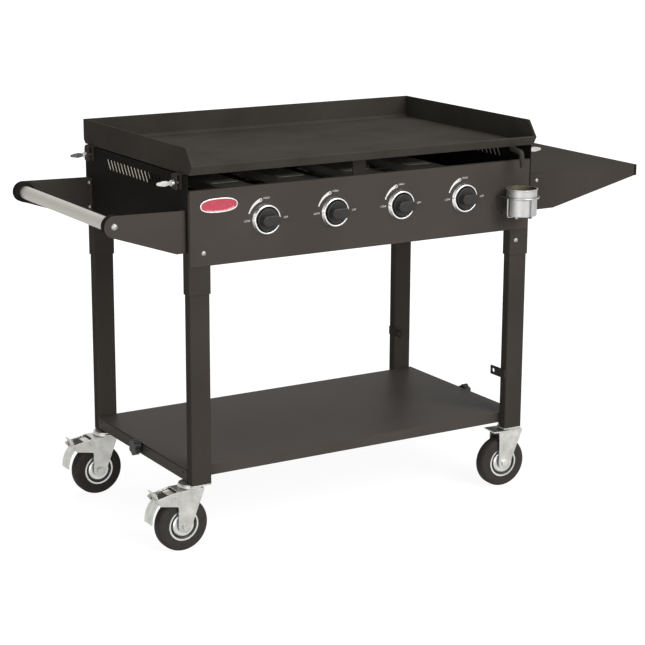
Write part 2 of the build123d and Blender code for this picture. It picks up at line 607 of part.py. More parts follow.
# Thumb screws: a flat paddle, a collar against the bracket and a screw into the side panel
thumb = extrude(Circle(THUMB_COLLAR / 2), THUMB_COLLAR_LENGTH)
thumb_length = bracket_out + FREE - sleeve_out_x + THUMB_TAIL
thumb += rod((0, 0, 0), (0, 0, -thumb_length), THUMB_SCREW / 2)
paddle = make_hull((Pos(0, THUMB_COLLAR_LENGTH) * Rectangle(THUMB_PADDLE_WIDTH * 0.5, 2)).edges()
                   + (Pos(0, THUMB_COLLAR_LENGTH + THUMB_PADDLE_LENGTH * 0.45) *
                      Circle(THUMB_PADDLE_WIDTH / 2)).edges()
                   + (Pos(0, THUMB_COLLAR_LENGTH + THUMB_PADDLE_LENGTH * 0.9) *
                      Circle(THUMB_PADDLE_LENGTH * 0.1)).edges())
thumb += plate_across_y(paddle, -THUMB_PADDLE_THICK / 2, THUMB_PADDLE_THICK / 2)
thumb_places = {"front_left": (-1, bracket_ys[0]), "back_left": (-1, bracket_ys[1]),
                "front_right": (1, bracket_ys[0]), "back_right": (1, bracket_ys[1])}
for corner, (sx, y) in thumb_places.items():
    seat = Plane(origin=(sx * (bracket_out + FREE), y, thumb_z), x_dir=(0, 0, 1), z_dir=(sx, 0, 0))
    save(f"thumb_screw_{corner}", seat * thumb)

# Gas manifold: a tube closed at the left, and a bent pipe that ends in a thread outside the body
manifold_start = tap_xs[0] - MANIFOLD_END
manifold_stop = tap_xs[-1] + MANIFOLD_END
manifold_radius = MANIFOLD_DIAMETER / 2
manifold = rod((manifold_start, manifold_y, manifold_z), (manifold_stop, manifold_y, manifold_z),
               manifold_radius)
manifold -= rod((manifold_start + MANIFOLD_WALL, manifold_y, manifold_z),
                (manifold_stop - MANIFOLD_WALL, manifold_y, manifold_z), manifold_radius - MANIFOLD_WALL)
manifold -= rod((0, manifold_y, manifold_z), (manifold_stop + 1, manifold_y, manifold_z), PIPE_BORE / 2)
for tap_x in tap_xs:
    manifold -= rod((tap_x, manifold_y, manifold_z), (tap_x, manifold_y, tap_z), PORT_DIAMETER / 2 + DRILLED)
bend_x = manifold_stop + PIPE_START
thread_start = half_width + INLET_STAND
thread_end = thread_start + INLET_LENGTH
pipe_path = FilletPolyline((manifold_stop, manifold_y, manifold_z), (bend_x, manifold_y, manifold_z),
                           (bend_x + PIPE_SLANT, pipe_y, manifold_z), (thread_end, pipe_y, manifold_z),
                           radius=PIPE_BEND)
pipe_seat = Plane(origin=pipe_path @ 0, z_dir=pipe_path % 0)
pipe = sweep(pipe_seat * Circle(PIPE_DIAMETER / 2), path=pipe_path)
pipe += rod((thread_start, pipe_y, manifold_z), (thread_end, pipe_y, manifold_z), INLET_DIAMETER / 2)
pipe -= sweep(pipe_seat * Circle(PIPE_BORE / 2), path=pipe_path)
save("gas_manifold", manifold, pipe)

# Gas valves: body against the panel, stub down into the manifold, spud into the burner
valve_end = panel_back + VALVE_LENGTH
spud_end = valve_end + SPUD_LENGTH
stub_end = manifold_z + MANIFOLD_DIAMETER / 2 - PORT_SEAT
valve = rod((0, panel_back, tap_z), (0, valve_end, tap_z), VALVE_DIAMETER / 2)
valve += rod((0, valve_end, tap_z), (0, spud_end, tap_z), SPUD_DIAMETER / 2)
valve += rod((0, manifold_y, tap_z), (0, manifold_y, stub_end), PORT_DIAMETER / 2)
valve_bore = panel_back + VALVE_BORE_DEPTH
valve -= rod((0, panel_back - 1, tap_z), (0, valve_bore, tap_z), STEM_DIAMETER / 2 + RUNNING)
save("gas_valves", *[Pos(tap_x, 0, 0) * valve for tap_x in tap_xs])

# Burners: ported tubes that slip over the spuds and lie on a rest at the back
burner_front = spud_end - BURNER_START
burner_back = -panel_back - BURNER_END_GAP
burner_radius = BURNER_DIAMETER / 2
burner = rod((0, burner_front, tap_z), (0, burner_back, tap_z), burner_radius)
burner -= rod((0, burner_front + BURNER_WALL, tap_z), (0, burner_back - BURNER_WALL, tap_z),
              burner_radius - BURNER_WALL)
burner -= rod((0, burner_front - 1, tap_z), (0, spud_end, tap_z), SPUD_DIAMETER / 2 + DRILLED)
port_start = burner_front + 2 * BURNER_DIAMETER
port_step = (burner_back - BURNER_DIAMETER - port_start) / (BURNER_PORTS - 1)
for i in range(BURNER_PORTS):
    port_y = port_start + i * port_step
    burner -= rod((-burner_radius - 1, port_y, tap_z), (burner_radius + 1, port_y, tap_z), BURNER_PORT / 2)
air_y = burner_front + BURNER_DIAMETER
burner -= block(-burner_radius / 2, burner_radius / 2, air_y - burner_radius / 2, air_y + burner_radius / 2,
                tap_z - burner_radius - 1, tap_z)
save("burners", *[Pos(tap_x, 0, 0) * burner for tap_x in tap_xs])

rest_x = sleeve_out_x - BURNER_REST_MARGIN
rest_top = tap_z - burner_radius
rest_low = rest_top - BURNER_REST_SHEET
rest_back = -panel_back
rest = block(-rest_x, rest_x, rest_back - BURNER_REST_LEDGE, rest_back, rest_low, rest_top)
rest += block(-rest_x, rest_x, rest_back - BURNER_REST_SHEET, rest_back, rest_low,
              rest_top + BURNER_REST_RISE)
save("burner_rest", rest)

# Taps: bezel on the panel, stem in its valve, knob on the stem, shown at off with the grip level
knob_back = -half_depth - KNOB_GAP
knob_front = knob_back - KNOB_DEPTH
bezel_in = BEZEL_INNER / 2
bezel_out = BEZEL_DIAMETER / 2
bezel_flat = bezel_out - BEZEL_SLOPE
bezel = lathe((bezel_in, 0), (bezel_out, 0), (bezel_out, BEZEL_EDGE),
              (bezel_flat, BEZEL_DEPTH - BEZEL_EDGE / 2), (bezel_flat - BEZEL_EDGE, BEZEL_DEPTH),
              (bezel_in + BEZEL_EDGE, BEZEL_DEPTH), (bezel_in, BEZEL_DEPTH - BEZEL_EDGE))
save("knob_bezels", *[towards((tap_x, -half_depth, tap_z), (0, -1, 0)) * bezel for tap_x in tap_xs])

knob_disc = extrude(Circle(KNOB_DIAMETER / 2), KNOB_BASE)
knob_disc = fillet(knob_disc.edges().sort_by(Axis.Z)[-1], KNOB_BASE * 0.35)
grip = extrude(SlotOverall(GRIP_LENGTH, GRIP_WIDTH), KNOB_DEPTH)
grip = fillet(grip.edges().group_by(Axis.Z)[-1], GRIP_WIDTH * 0.12)
stem_reach = KNOB_DEPTH - KNOB_CAP
knob = knob_disc + grip - rod((0, 0, -1), (0, 0, stem_reach), STEM_DIAMETER / 2 + RUNNING)
stem_front = knob_back - stem_reach + FREE
stem_end = valve_bore - STEM_PUSH - STEM_END_GAP
for number, tap_x in enumerate(tap_xs, 1):
    seat = Plane(origin=(tap_x, knob_back, tap_z), x_dir=(1, 0, 0), z_dir=(0, -1, 0))
    save(f"knob_{number}", seat * knob)
    save(f"valve_stem_{number}", rod((tap_x, stem_front, tap_z), (tap_x, stem_end, tap_z), STEM_DIAMETER / 2))

# Handle: two tapered arms with a root flange each, and a tube between them
root_top = handle_z + ARM_ROOT_TOP
root_bottom = handle_z - ARM_ROOT_BOTTOM
root = outline((-half_width, root_top), (-half_width, root_bottom),
               (-half_width - ARM_ROOT_FLAT, root_bottom))
arm_end = Pos(handle_x, handle_z) * Circle(ARM_END_RADIUS)
arm_shape = make_hull(root.edges() + arm_end.edges())
arms = []
for side in (-1, 1):
    arm = plate_across_y(arm_shape, side * (arm_y - ARM_SHEET), side * arm_y)
    arm += block(-half_width - ARM_SHEET, -half_width, side * (arm_y - ARM_FLANGE), side * arm_y,
                 root_bottom, root_top)
    arms.append(drilled(arm, arm_screws + handle_bolts))
save("handle_arms", *arms)

tube_end = arm_y - ARM_SHEET
handle = rod((handle_x, -tube_end, handle_z), (handle_x, tube_end, handle_z), HANDLE_DIAMETER / 2)
handle -= rod((handle_x, -tube_end + HANDLE_PLUG, handle_z), (handle_x, tube_end - HANDLE_PLUG, handle_z),
              HANDLE_DIAMETER / 2 - HANDLE_WALL)
save("handle_tube", drilled(handle, handle_bolts))

# Side shelf: flat top, tapered flanges front and back, folded outer edge, on two braces
shelf_out = half_width + SHELF_REACH
shelf_root = side_shelf_top - SIDE_SHELF_ROOT
shelf_edge = side_shelf_top - SIDE_SHELF_EDGE
taper = outline((half_width, side_shelf_top), (shelf_out, side_shelf_top), (shelf_out, shelf_edge),
                (half_width + SIDE_SHELF_FLAT, shelf_root), (half_width, shelf_root))
side_shelf = plate_across_y(taper, -arm_y, arm_y)
side_shelf -= block(half_width - 1, shelf_out - SHEET, -arm_y + SHEET, arm_y - SHEET, shelf_root - 1,
                    side_shelf_top - SHEET)
save("side_shelf", drilled(side_shelf, shelf_bolts))

brace_y = arm_y - SHEET
brace_top = side_shelf_top - SHEET
brace_bottom = shelf_root + BRACE_MARGIN
braces = []
for side in (-1, 1):
    brace = block(half_width, half_width + BRACE_REACH, side * (brace_y - ARM_SHEET), side * brace_y,
                  brace_bottom, brace_top)
    brace += block(half_width, half_width + ARM_SHEET, side * (brace_y - BRACE_FLANGE), side * brace_y,
                   brace_bottom, brace_top)
    braces.append(drilled(brace, brace_screws + shelf_bolts))
save("side_shelf_brackets", *braces)

# Grease cup: a tin with a rolled rim
cup_floor = cup_rim - CUP_HEIGHT
cup_r = CUP_DIAMETER / 2
bead_r = cup_r + CUP_BEAD
cup = lathe((0, 0), (cup_r, 0), (cup_r, CUP_HEIGHT - 2 * CUP_BEAD), (bead_r, CUP_HEIGHT - 1.5 * CUP_BEAD),
            (bead_r, CUP_HEIGHT - 0.5 * CUP_BEAD), (cup_r + CUP_BEAD / 2, CUP_HEIGHT),
            (cup_r - CUP_WALL, CUP_HEIGHT), (cup_r - CUP_WALL, CUP_WALL), (0, CUP_WALL))
save("grease_cup", Pos(cup_x, cup_y, cup_floor) * cup)

# Cup holder: a wire hoop from the panel, and two wires that cross under the cup
seat_z = cup_floor - FREE - WIRE / 2
wire_left = cup_x - hoop_radius
wire_right = cup_x + hoop_radius
wire_front = cup_y - hoop_radius
left = (wire_left, cup_y, hoop_z)
right = (wire_right, cup_y, hoop_z)
front = (cup_x, wire_front, hoop_z)
hoop_path = Line((wire_left, panel_back, hoop_z), left)
hoop_path += ThreePointArc(left, front, right)
hoop_path += Line(right, (wire_right, panel_back, hoop_z))
across_path = FilletPolyline(left, (wire_left, cup_y, seat_z), (wire_right, cup_y, seat_z), right,
                             radius=WIRE_BEND)
back_path = FilletPolyline(front, (cup_x, wire_front, seat_z), (cup_x, -half_depth, seat_z), radius=WIRE_BEND)
holder = Part()
for path in (hoop_path, across_path, back_path):
    holder += sweep(Plane(origin=path @ 0, z_dir=path % 0) * Circle(WIRE / 2), path=path)
save("cup_holder", holder)

# Casters, made about their swivel axis with the wheel trailing towards -X
wheel_r = WHEEL_DIAMETER / 2
axle_x = -CASTER_TRAIL
caster_x = leg_x + SWIVEL_OUT
caster_y = leg_y - SWIVEL_IN
crown_back = CASTER_TRAIL + BOSS_RADIUS
crown_top = CASTER_HEIGHT - HEAD_HEIGHT
plate_low = leg_bottom - FOOT_PLATE
cheek_in = FORK_GAP / 2
cheek_out = cheek_in + FORK_SHEET
rim_r = RIM_DIAMETER / 2
hub_half = HUB_WIDTH / 2
tyre_half = TYRE_WIDTH / 2
pin_x = axle_x - BRAKE_PIN_BACK
pin_z = wheel_r + BRAKE_PIN_RISE
upright = Rot(90, 0, 0)


def at_corner(shape, corner):
    sx, sy = corners[corner]
    return Pos(sx * caster_x, sy * caster_y, 0) * Rot(0, 0, CASTER_TURN[corner]) * shape


def leg_plug(sx, sy):
    """A plug in the foot of a leg, and the foot plate under it that carries the caster inboard of the leg."""
    inset = 2 * (LEG_WALL + SLEEVE_PLAY)
    plug = extrude(RectangleRounded(LEG_WIDTH - inset, LEG_DEPTH - inset, LEG_CORNER), PLUG_HEIGHT)
    plate = Pos(sx * leg_x, sy * leg_y, plate_low) * extrude(
        RectangleRounded(LEG_WIDTH, LEG_DEPTH, LEG_CORNER), FOOT_PLATE)
    plate += rod((sx * caster_x, sy * caster_y, plate_low), (sx * caster_x, sy * caster_y, leg_bottom),
                 HEAD_DIAMETER / 2 - RACE_EDGE)
    return plate, Pos(sx * leg_x, sy * leg_y, leg_bottom) * plug


def caster_head():
    """The bearing race under a foot plate, and the king pin with its nut."""
    race_r = HEAD_DIAMETER / 2
    race = lathe((0, crown_top), (race_r - RACE_EDGE, crown_top), (race_r, crown_top + RACE_EDGE),
                 (race_r, plate_low - RACE_EDGE), (race_r - RACE_EDGE, plate_low), (0, plate_low))
    nut_top = crown_top - FORK_SHEET - FREE
    nut = hexagon((0, 0, nut_top - KING_NUT_HEIGHT), (0, 0, nut_top), KING_NUT)
    return race + rod((0, 0, nut_top - KING_NUT_HEIGHT), (0, 0, crown_top), KING_PIN / 2) + nut


def fork(braked):
    """A pressed fork: crown, two cheeks round the axle, and arms for the brake."""
    crown_low = crown_top - FORK_SHEET
    crown_line = outline((-crown_back, crown_top), (CROWN_FRONT, crown_top), (CROWN_FRONT, crown_low))
    boss = Pos(axle_x, wheel_r) * Circle(BOSS_RADIUS)
    cheek = make_hull(crown_line.edges() + boss.edges())
    if braked:
        arm_tip = axle_x - BRAKE_ARM_REACH
        arm_top = wheel_r + BRAKE_ARM_TOP
        arm_low = wheel_r + BRAKE_ARM_LOW
        arm_root = wheel_r + BRAKE_ARM_ROOT
        cheek += outline((0, crown_top), (-crown_back, crown_top), (arm_tip + BRAKE_ARM_BEVEL, arm_top),
                         (arm_tip, arm_top - BRAKE_ARM_BEVEL), (arm_tip + BRAKE_ARM_NOSE, arm_low),
                         (axle_x, arm_root))
        under_arm = [v for v in cheek.vertices() if v.X > -crown_back - 1 and arm_root < v.Y < arm_low]
        cheek = fillet(under_arm, BRAKE_ARM_ROUND)
    shape = plate_across_y(cheek, cheek_in, cheek_out) + plate_across_y(cheek, -cheek_out, -cheek_in)
    crown_end = -crown_back if braked else -crown_back - FENDER
    shape += block(-crown_back, CROWN_FRONT, -cheek_in, cheek_in, crown_low, crown_top)
    shape += block(crown_end, -crown_back + FORK_SHEET, -cheek_out, cheek_out, crown_low, crown_top)
    shape -= rod((0, 0, crown_low - 1), (0, 0, crown_top + 1), KING_PIN / 2 + RUNNING)
    shape -= rod((axle_x, -cheek_out - 1, wheel_r), (axle_x, cheek_out + 1, wheel_r), AXLE / 2 + RUNNING)
    if braked:
        shape -= rod((pin_x, -cheek_out - 1, pin_z), (pin_x, cheek_out + 1, pin_z), BRAKE_PIN / 2 + RUNNING)
    return shape


def bolt(x, z, shank, head, head_height):
    """A bolt through both cheeks with a hexagon on each side."""
    shape = rod((x, -cheek_out - head_height, z), (x, cheek_out + head_height, z), shank / 2)
    shape += hexagon((x, cheek_out, z), (x, cheek_out + head_height, z), head)
    return shape + hexagon((x, -cheek_out - head_height, z), (x, -cheek_out, z), head)


def hub():
    """A pressed wheel disc with a bored barrel and a rim that holds the tyre."""
    bore = AXLE / 2 + RUNNING
    rim_face = tyre_half - RIM_SET
    groove = rim_face / 2
    rim_in = rim_r - RIM_LIP
    half = [(bore, hub_half), (BARREL_RADIUS, hub_half), (BARREL_RADIUS, tyre_half), (DISC_RADIUS, tyre_half),
            (DISC_RADIUS + DISC_EDGE, tyre_half - DISC_EDGE), (DISC_RADIUS + DISC_EDGE, groove),
            (rim_in, groove), (rim_in, rim_face), (rim_r, rim_face)]
    profile = half + [(r, -y) for r, y in reversed(half)]
    return Pos(axle_x, 0, wheel_r) * upright * lathe(*profile)


def tyre():
    ring = outline((rim_r + RUNNING, -tyre_half), (wheel_r, -tyre_half), (wheel_r, tyre_half),
                   (rim_r + RUNNING, tyre_half))
    ring = fillet(ring.vertices().group_by(Axis.X)[-1], TYRE_SHOULDER)
    return Pos(axle_x, 0, wheel_r) * upright * revolve(Plane.XZ * ring, Axis.Z)


def brake_pedal():
    """A stamped lever on the brake pin: foot plate with a turned-up tip, and a curved lower lobe."""
    plate = [(BRAKE_PIN_BACK, BRAKE_PIN_RISE + BRAKE_PIN), (PEDAL_KNEE, PEDAL_KNEE_RISE),
             (PEDAL_SLOPE, PEDAL_SLOPE_RISE), (PEDAL_TOE, PEDAL_TOE_RISE), (PEDAL_TIP, PEDAL_TIP_RISE)]
    curl = [(PEDAL_SLOPE, PEDAL_SLOPE_RISE), (LOBE_MIDDLE, LOBE_MIDDLE_RISE), (LOBE_END, LOBE_END_RISE)]
    top = Polyline(*[(axle_x - back, wheel_r + rise) for back, rise in plate])
    lobe = ThreePointArc(*[(axle_x - back, wheel_r + rise) for back, rise in curl])
    strip = trace(top, BRAKE_SHEET) + trace(lobe, BRAKE_SHEET)
    half = BRAKE_WIDTH / 2
    pedal = plate_across_y(strip, -half, half)
    pedal += rod((pin_x, -half, pin_z), (pin_x, half, pin_z), BRAKE_PIN)
    return pedal - rod((pin_x, -half - 1, pin_z), (pin_x, half + 1, pin_z), BRAKE_PIN / 2 + RUNNING)


save("leg_plugs", *[piece for sx, sy in corners.values() for piece in leg_plug(sx, sy)])
save("caster_heads", *[Pos(sx * caster_x, sy * caster_y, 0) * caster_head() for sx, sy in corners.values()])
for corner, (sx, sy) in corners.items():
    braked = sx < 0
    pins = [bolt(axle_x, wheel_r, AXLE, AXLE_HEAD, AXLE_HEAD_HEIGHT)]
    if braked:
        pins.append(bolt(pin_x, pin_z, BRAKE_PIN, BRAKE_PIN_HEAD, BRAKE_PIN_HEAD_HEIGHT))
        save(f"brake_pedal_{corner}", at_corner(brake_pedal(), corner))
    save(f"caster_fork_{corner}", at_corner(fork(braked), corner))
    save(f"caster_axle_{corner}", *[at_corner(pin, corner) for pin in pins])
    save(f"caster_hub_{corner}", at_corner(hub(), corner))
    save(f"caster_tyre_{corner}", at_corner(tyre(), corner))
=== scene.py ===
import json
import math

import bmesh
import bpy
from mathutils import Matrix, Vector


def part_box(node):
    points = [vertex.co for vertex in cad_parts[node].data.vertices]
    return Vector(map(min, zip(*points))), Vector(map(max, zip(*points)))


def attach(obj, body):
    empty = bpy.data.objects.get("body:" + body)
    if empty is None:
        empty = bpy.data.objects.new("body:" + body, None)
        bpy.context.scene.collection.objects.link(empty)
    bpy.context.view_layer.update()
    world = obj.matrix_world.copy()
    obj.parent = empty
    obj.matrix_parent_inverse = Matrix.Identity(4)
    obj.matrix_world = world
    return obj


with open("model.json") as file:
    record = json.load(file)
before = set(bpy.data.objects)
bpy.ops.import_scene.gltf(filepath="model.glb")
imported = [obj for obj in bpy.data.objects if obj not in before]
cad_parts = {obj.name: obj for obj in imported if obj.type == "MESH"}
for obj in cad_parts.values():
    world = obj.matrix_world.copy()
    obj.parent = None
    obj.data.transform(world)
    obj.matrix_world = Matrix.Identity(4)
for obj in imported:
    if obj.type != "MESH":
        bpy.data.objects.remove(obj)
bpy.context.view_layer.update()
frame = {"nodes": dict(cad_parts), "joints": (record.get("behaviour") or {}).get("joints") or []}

# Casters: pressed steel forks, wheel discs and bearing heads, all bright zinc plated, hung on
# king pins in the feet of the legs. The plating is pale, with a cloudy bloom and a fine crystal
# that catches the light, and it thins to a brighter line along the pressed edges.
corners = ("front_left", "back_left", "front_right", "back_right")


class Coat:
    """One value in a finish. Sums written with it become shader nodes."""

    def __init__(self, tree, socket=None):
        self.tree = tree
        self.socket = socket

    def node(self, kind, settings=None, feeds=None, out=0):
        """A shader node: its settings first, then the values or links of its sockets."""
        made = self.tree.nodes.new("ShaderNode" + kind)
        for name, value in (settings or {}).items():
            if name == "stops":
                ramp = made.color_ramp.elements
                ramp[0].position, ramp[-1].position = value[0][0], value[-1][0]
                for place, colour in value[1:-1]:
                    ramp.new(place)
                for stop, (place, colour) in zip(ramp, value):
                    stop.color = (*colour, 1.0)
            else:
                setattr(made, name, value)
        for name, value in (feeds or {}).items():
            socket = made.inputs[name]
            if isinstance(value, Coat):
                self.tree.links.new(value.socket, socket)
            elif socket.type == "RGBA":
                socket.default_value = (*value, 1.0)
            else:
                socket.default_value = value
        return Coat(self.tree, made.outputs[out] if made.outputs else None)

    def math(self, operation, first, second=0.0):
        return self.node("Math", {"operation": operation}, {0: first, 1: second})

    def __add__(self, other):
        return self.math("ADD", self, other)

    def __sub__(self, other):
        return self.math("SUBTRACT", self, other)

    def __mul__(self, other):
        return self.math("MULTIPLY", self, other)

    def __rsub__(self, other):
        return self.math("SUBTRACT", other, self)

    __radd__ = __add__
    __rmul__ = __mul__

    def tint(self, low, high):
        """A colour between two, by this value."""
        return self.node("Mix", {"data_type": "RGBA"}, {0: self, 6: low, 7: high}, out=2)

    def spread(self, low, high):
        """This value, stretched so that low gives 0 and high gives 1."""
        return self.node("MapRange", {}, {"Value": self, "From Min": low, "From Max": high})

    def stretch(self, x, y, z):
        """This place, scaled along each axis."""
        return self.node("VectorMath", {"operation": "MULTIPLY"}, {0: self, 1: (x, y, z)})

    def cloud(self, scale, detail=3.0):
        """Soft noise over this place, about so many lumps to the metre."""
        return self.node("TexNoise", {}, {"Vector": self, "Scale": scale, "Detail": detail})


def new_finish(name):
    """An empty finish: its material, its node tree, places on the piece and rounded normals."""
    material = bpy.data.materials.new(name)
    material.use_nodes = True
    material.node_tree.nodes.clear()
    coat = Coat(material.node_tree)
    place = coat.node("TexCoord", out="Object")
    edge = coat.node("Bevel", {"samples": 4}, {"Radius": 0.0008})
    return material, coat, place, edge


def edge_wear(coat, edge):
    """0 on a flat and up to 1 along an outer edge, from how far the rounded normal leans."""
    flat = coat.node("NewGeometry", out="Normal")
    lean = coat.node("VectorMath", {"operation": "DOT_PRODUCT"}, {0: edge, 1: flat}, out="Value")
    return (1.0 - lean).spread(0.0, 0.25)


def lay(coat, height, strength, depth, edge, feeds):
    """Closes a finish: a fine relief over the rounded edges, then the shader itself."""
    relief = coat.node("Bump", {}, {
        "Strength": strength, "Distance": depth, "Height": height, "Normal": edge})
    skin = coat.node("BsdfPrincipled", {}, {**feeds, "Normal": relief})
    coat.node("OutputMaterial", {}, {"Surface": skin})


def dress(material, *names):
    """Puts a finish on CAD nodes."""
    for name in names:
        for slot in frame["nodes"][name].material_slots:
            slot.material = material


zinc, coat, place, edge = new_finish("bright_zinc")
bloom = place.cloud(38.0, 5.0)
crystal = place.cloud(1400.0, 2.0)
bright = edge_wear(coat, edge)
lay(coat, crystal, 0.12, 0.0002, edge, {
    "Base Color": (bloom.spread(0.3, 0.7) + bright * 0.4).tint(
        (0.42, 0.417, 0.395), (0.62, 0.615, 0.58)),
    "Metallic": 1.0, "Roughness": 0.26 + bloom * 0.16 + crystal * 0.06})
dress(zinc, "leg_plugs", "caster_heads")
for corner in corners:
    dress(zinc, "caster_fork_" + corner, "caster_axle_" + corner)

# Wheel discs: the same plating on a pressed disc. The groove between the disc and the rim ring is
# darkened as painted shade, and a little old grease darkens the disc round the axle.
joints = {joint["name"]: joint for joint in frame["joints"]}


def from_axle(coat, place, corner):
    """Distance of a place from a caster's axle."""
    roll = joints["caster_roll_" + corner]
    arm = coat.node("VectorMath", {"operation": "SUBTRACT"}, {0: place, 1: roll["pos_m"]})
    across = coat.node("VectorMath", {"operation": "CROSS_PRODUCT"}, {0: arm, 1: roll["axis"]})
    return coat.node("VectorMath", {"operation": "LENGTH"}, {0: across}, out="Value")


for corner in corners:
    disc, coat, place, edge = new_finish("plated_disc_" + corner)
    radius = from_axle(coat, place, corner)
    bloom = place.cloud(38.0, 5.0)
    # painted shade: the recessed groove is darkened in colour, with less metal and more roughness
    painted_groove_shade = radius.spread(0.0262, 0.0274) * radius.spread(0.0330, 0.0322)
    grease = radius.spread(0.013, 0.009) * bloom * 0.5
    groove_shade_and_grease = painted_groove_shade + grease
    plated = bloom.spread(0.3, 0.7).tint((0.56, 0.57, 0.55), (0.72, 0.73, 0.71))
    lay(coat, bloom, 0.12, 0.0002, edge, {
        "Base Color": groove_shade_and_grease.tint(plated, (0.055, 0.052, 0.046)),
        "Metallic": 1.0 - groove_shade_and_grease * 0.6, "Roughness": 0.28 + bloom * 0.16 + groove_shade_and_grease * 0.2})
    dress(disc, "caster_hub_" + corner)

# Tyres: solid black rubber moulded on the wheel discs, with fine rings left by the mould on the
# side walls and a smooth tread. A little floor dust sits in the rings and greys the tread.
ring_rate = 3100.0
for corner in corners:
    rubber, coat, place, edge = new_finish("tyre_rubber_" + corner)
    radius = from_axle(coat, place, corner)
    wall = radius.spread(0.0605, 0.0575)
    rings = coat.math("SINE", radius * ring_rate) * wall
    dust = place.cloud(70.0, 6.0)
    lay(coat, rings + place.cloud(2200.0) * 0.4, 0.25, 0.0003, edge, {
        "Base Color": (dust * 0.7 + rings * 0.15).tint((0.022, 0.019, 0.017), (0.058, 0.052, 0.047)),
        "Roughness": 0.60 + dust * 0.25, "Specular IOR Level": 0.12})
    dress(rubber, "caster_tyre_" + corner)

# Brake pedals: stamped zinc levers on the two left casters, with a ribbed black rubber pad let
# into the foot plate so that a shoe doesn't slip. The pad is glued on and moves with the pedal.
mm = 0.001
black, coat, place, edge = new_finish("moulded_black")
grain = place.cloud(1800.0, 2.0)
haze = place.cloud(60.0, 4.0)
lay(coat, grain, 0.22, 0.00025, edge, {
    "Base Color": haze.tint((0.010, 0.0092, 0.0088), (0.022, 0.0205, 0.0195)),
    "Roughness": 0.36 + haze * 0.16 + grain * 0.05, "Specular IOR Level": 0.3})


def new_piece(name, mesh, body, material):
    """A piece made here: its mesh, its finish and the body that it moves with."""
    bmesh.ops.recalc_face_normals(mesh, faces=mesh.faces)
    solid = bpy.data.meshes.new(name)
    mesh.to_mesh(solid)
    mesh.free()
    solid.materials.append(material)
    piece = bpy.data.objects.new(name, solid)
    bpy.context.scene.collection.objects.link(piece)
    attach(piece, body)
    return piece


def band(mesh, first, second):
    """The faces between two closed rows of points, as many in the one as in the other."""
    after = [(i + 1) % len(first) for i in range(len(first))]
    return [mesh.faces.new((first[i], first[j], second[j], second[i])) for i, j in enumerate(after)]


def prism(mesh, outline, start, end):
    """A closed bar: an outline of 3-D points, carried from start to end."""
    rows = [[mesh.verts.new(point + shift) for point in outline] for shift in (start, end)]
    band(mesh, *rows)
    mesh.faces.new(rows[0])
    mesh.faces.new(rows[1])


rib_pitch, pad_half = 5, 0.0135
for corner in ("front_left", "back_left"):
    dress(zinc, "brake_pedal_" + corner)
    axle = Vector(joints["caster_roll_" + corner]["pos_m"])
    knee = axle + Vector((-0.032, 0, 0.076))
    toe = axle + Vector((-0.057, 0, 0.0665))
    along = (toe - knee).normalized()
    up = Vector((along.z, 0, -along.x))
    seat = knee + along * 0.005 + up * 0.00122
    run = [(0, 0), (0, 1.4), (1, 2.0)]
    for rib in range(4):
        run += [(s + rib * rib_pitch, h) for s, h in ((1.4, 2.8), (3.4, 2.8), (4.2, 1.8), (5.4, 1.8))]
    run = run[:-2] + [(20.4, 1.6), (20.6, 0)]
    pad = bmesh.new()
    prism(pad, [seat + along * s * mm + up * h * mm for s, h in run],
          Vector((0, -pad_half, 0)), Vector((0, pad_half, 0)))
    bmesh.ops.bevel(pad, geom=pad.edges[:], offset=0.00025, segments=2, affect="EDGES")
    new_piece("pedal_pad_" + corner, pad, "brake_pedal_" + corner, black)

# Legs: rectangular steel tube in two stages, the lower leg sliding in an upper sleeve that is
# screwed to the firebox. Charcoal powder coat with a faint orange-peel skin, a little thinner
# and shinier along the rounded corners of the tube.


def charcoal(name, dark, pale, sheen, gleam=0.0):
    """Satin charcoal powder coat. Gleam is how much of a shallow reflection it gives."""
    paint, coat, place, edge = new_finish(name)
    peel = place.cloud(420.0, 2.0)
    speck = place.cloud(2600.0, 1.0)
    drift = place.cloud(5.0, 4.0)
    worn = edge_wear(coat, edge)
    lay(coat, peel + speck * 0.25, 0.10, 0.0004, edge, {
        "Base Color": (drift.spread(0.25, 0.75) * 0.6 + speck * 0.25 + worn * 0.25).tint(dark, pale),
        "Metallic": 0.06 + worn * 0.10,
        "Roughness": sheen + drift * 0.10 + speck * 0.05 - worn * 0.06,
        "Specular IOR Level": gleam})
    return paint


leg_paint = charcoal("leg_charcoal", (0.037, 0.0325, 0.0285), (0.055, 0.0485, 0.043), 0.40)
dress(leg_paint, "legs", "leg_sleeves", "bottle_tabs")

# Bottom shelf: a pan of sheet steel with its edges turned down, dropped on two side rails and
# clamped through each rail by a lobed hand knob. Same charcoal coat, a little glossier because
# the wide flat sheet takes the powder more evenly.
shelf_paint = charcoal("shelf_charcoal", (0.050, 0.044, 0.0385), (0.071, 0.0625, 0.0555), 0.36, 0.025)
dress(shelf_paint, "bottom_shelf", "shelf_rails")
dress(black, "shelf_knob_left", "shelf_knob_right")

# Firebox: control panel in front, vented side panels, a plain back panel and a tray under the
# burners, all folded from thin sheet and screwed to the leg sleeves. Satin charcoal coat; the side
# panels get a much darker copy of it, which is painted shade.
body_paint = charcoal("body_charcoal", (0.048, 0.042, 0.037), (0.068, 0.0597, 0.053), 0.42)
dress(body_paint, "control_panel", "back_panel")
# painted shade: about a third of the body's colour on the side panels, for the shade they sit in
painted_shade_charcoal = charcoal("side_charcoal_painted_shade", (0.014, 0.0125, 0.011), (0.022, 0.0195, 0.0175), 0.42)
dress(painted_shade_charcoal, "side_panel_left", "side_panel_right")

